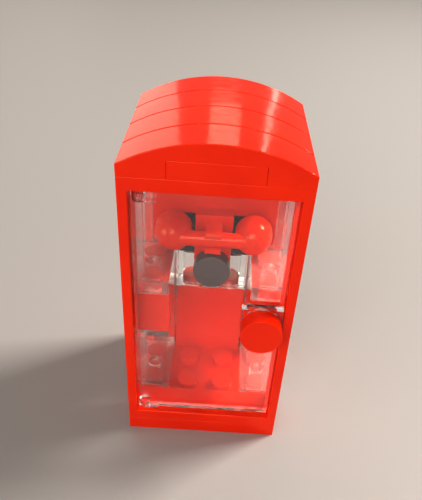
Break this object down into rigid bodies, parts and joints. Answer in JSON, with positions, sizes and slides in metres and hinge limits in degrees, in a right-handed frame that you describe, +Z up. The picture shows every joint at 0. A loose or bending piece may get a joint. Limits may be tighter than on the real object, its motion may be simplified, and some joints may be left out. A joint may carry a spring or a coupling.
{
  "type": "toy telephone booth",
  "caption": "Toy telephone booth of interlocking building bricks, with an arched roof, clear walls, a hinged clear door, and a handset and dial on the back wall.",
  "frame": {"origin": "middle of the base plate's underside, on the axis of its middle tube", "axes": "+X to the booth's right seen from the front, +Y to the back, +Z up; the door is in the front, at -Y"},
  "size_m": [0.0318, 0.0353, 0.0672],
  "materials": {
    "red_plastic": "glossy moulded ABS, bright red",
    "clear_plastic": "clear transparent plastic, polished",
    "black_plastic": "glossy moulded ABS, black",
    "dark_grey_plastic": "glossy moulded ABS, dark grey"
  },
  "bodies": {
    "booth": {"base_plate": "red_plastic", "door_frame": "red_plastic", "side_brick_left": "red_plastic", "side_brick_right": "red_plastic", "back_tall_brick": "red_plastic", "back_brick_lower": "red_plastic", "back_brick_upper": "red_plastic", "back_corner_brick_1_left": "red_plastic", "back_corner_brick_1_right": "red_plastic", "back_corner_brick_2_left": "red_plastic", "back_corner_brick_2_right": "red_plastic", "back_corner_brick_3_left": "red_plastic", "back_corner_brick_3_right": "red_plastic", "back_corner_brick_4_left": "red_plastic", "back_corner_brick_4_right": "red_plastic", "phone_wall_plate": "red_plastic", "roof_plate": "red_plastic", "roof_arch_first": "red_plastic", "roof_arch_second": "red_plastic", "roof_arch_third": "red_plastic", "roof_arch_fourth": "red_plastic", "lower_side_panel_left": "clear_plastic", "lower_side_panel_right": "clear_plastic", "upper_side_panel_left": "clear_plastic", "upper_side_panel_right": "clear_plastic", "window_brick": "clear_plastic", "phone_mount_brick": "black_plastic"},
    "door": {"door_leaf": "clear_plastic"},
    "knob": {"door_knob": "red_plastic"},
    "dial": {"phone_dial": "dark_grey_plastic"},
    "handset": {"phone_handset": "red_plastic"}
  },
  "joints": [
    {"name": "door_swing", "type": "hinge", "parent": "booth", "child": "door", "pos_m": [-0.0126, -0.01385, 0.032], "axis": [0, 0, -1], "range_deg": [0, 90]},
    {"name": "knob_turn", "type": "hinge", "parent": "door", "child": "knob", "pos_m": [0.01, -0.0162, 0.032], "axis": [0, -1, 0], "continuous": true},
    {"name": "dial_turn", "type": "hinge", "parent": "booth", "child": "dial", "pos_m": [0, 0.0049, 0.0312], "axis": [0, -1, 0], "continuous": true},
    {"name": "handset_turn", "type": "hinge", "parent": "booth", "child": "handset", "pos_m": [0, 0.00215, 0.0392], "axis": [1, 0, 0], "range_deg": [0, 180]}
  ]
}
